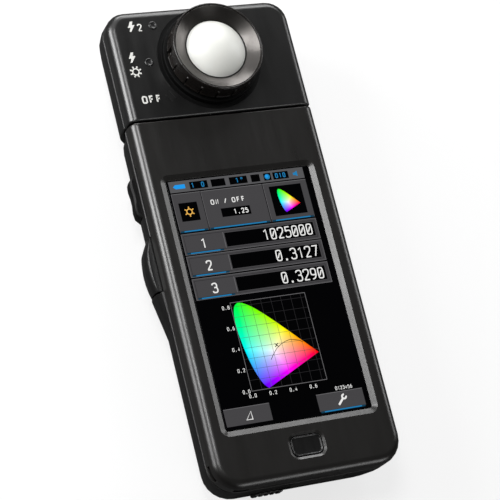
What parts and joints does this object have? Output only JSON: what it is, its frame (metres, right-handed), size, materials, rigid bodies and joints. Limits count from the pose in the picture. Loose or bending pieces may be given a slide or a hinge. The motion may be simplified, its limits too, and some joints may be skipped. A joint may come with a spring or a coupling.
{
  "type": "handheld spectrometer",
  "caption": "Black handheld light spectrometer: touch display, menu and side buttons, swivelling head with a white diffuser dome inside a turning selection ring.",
  "frame": {"origin": "middle of the bounding box's base; the instrument lies on its flat back", "axes": "+X to the right of the display, +Y from the bottom end to the measuring head, +Z out of the display"},
  "size_m": [0.0782, 0.1838, 0.0401],
  "materials": {
    "satin_black": "satin black moulded plastic",
    "textured_black": "fine-textured black plastic",
    "gloss_black": "smooth black plastic",
    "ring_rubber": "black rubber",
    "display_glass": "black-backed cover glass",
    "opal": "opal white plastic",
    "cone_aluminium": "satin turned aluminium",
    "black_aluminium": "black anodised",
    "steel": "plain steel",
    "brass": "turned brass",
    "circuit_board": "green circuit board",
    "ribbon": "orange flexible ribbon",
    "cell_sleeve": "plain dark sleeve, unprinted",
    "clear_acrylic": "clear acrylic rod",
    "grey_glass": "grey optical glass"
  },
  "bodies": {
    "case": {"front_shell": "satin_black", "rear_shell": "textured_black", "display_glass": "display_glass", "lcd_module": "black_aluminium", "main_board": "circuit_board", "left_switch_board": "circuit_board", "power_switch_board": "circuit_board", "cell_1": "cell_sleeve", "cell_2": "cell_sleeve", "battery_tray": "satin_black", "positive_contact": "steel", "negative_contact": "steel", "bridge_contact": "steel", "usb_socket": "steel", "sync_socket": "steel", "tripod_bush": "brass", "case_screw_1": "steel", "case_screw_2": "steel", "case_screw_3": "steel", "case_screw_4": "steel", "swivel_bearing": "black_aluminium"},
    "head": {"swivel_shaft": "steel", "swivel_retainer": "steel", "head_ribbon": "ribbon", "head_front_shell": "satin_black", "head_rear_shell": "textured_black", "head_screw_1": "steel", "head_screw_2": "steel", "head_screw_3": "steel", "head_screw_4": "steel", "ring_seat": "satin_black", "click_ball": "steel", "dome_holder": "satin_black", "receptor_cone": "cone_aluminium", "diffuser_dome": "opal", "light_pipe": "clear_acrylic", "optical_bench": "black_aluminium", "bench_cover": "black_aluminium", "slit_plate": "steel", "concave_grating": "grey_glass", "sensor_board": "circuit_board"},
    "selection_ring": {"light_selection_ring": "ring_rubber", "filter_disc": "black_aluminium", "nd_filter": "grey_glass"},
    "menu_key": {"menu_button": "gloss_black"},
    "measuring_key": {"measuring_button": "gloss_black"},
    "memory_key": {"memory_button": "satin_black"},
    "power_key": {"power_button": "satin_black"},
    "cell_door": {"battery_door": "textured_black"},
    "door_latch": {"battery_latch": "satin_black"},
    "usb_flap": {"usb_cover": "ring_rubber"},
    "sync_plug": {"sync_cap": "ring_rubber"}
  },
  "joints": [
    {"name": "head_swivel", "type": "hinge", "parent": "case", "child": "head", "pos_m": [0.00119, 0.0476, 0.0135], "axis": [0, 1, 0], "range_deg": [-90, 180]},
    {"name": "ring_turn", "type": "hinge", "parent": "head", "child": "selection_ring", "pos_m": [0.00119, 0.06975, 0.027], "axis": [0, 0, 1], "range_deg": [-36, 36]},
    {"name": "menu_press", "type": "slide", "parent": "case", "child": "menu_key", "axis": [0, 0, -1], "range_m": [0, 0.0004], "stiffness_N_per_m": 1500},
    {"name": "measuring_press", "type": "slide", "parent": "case", "child": "measuring_key", "axis": [1, 0, 0], "range_m": [0, 0.0006], "stiffness_N_per_m": 2000},
    {"name": "memory_press", "type": "slide", "parent": "case", "child": "memory_key", "axis": [1, 0, 0], "range_m": [0, 0.0005], "stiffness_N_per_m": 2000},
    {"name": "power_press", "type": "slide", "parent": "case", "child": "power_key", "axis": [-1, 0, 0], "range_m": [0, 0.0005], "stiffness_N_per_m": 2000},
    {"name": "door_slide", "type": "slide", "parent": "case", "child": "cell_door", "axis": [0, -1, 0], "range_m": [0, 0.009]},
    {"name": "latch_slide", "type": "slide", "parent": "cell_door", "child": "door_latch", "axis": [1, 0, 0], "range_m": [0, 0.0025]},
    {"name": "usb_flap_hinge", "type": "hinge", "parent": "case", "child": "usb_flap", "pos_m": [-0.00351, -0.0902, 0.016], "axis": [0, 0, -1], "range_deg": [0, 90]},
    {"name": "sync_cap_pull", "type": "slide", "parent": "case", "child": "sync_plug", "axis": [1, 0, 0], "range_m": [0, 0.005]}
  ]
}
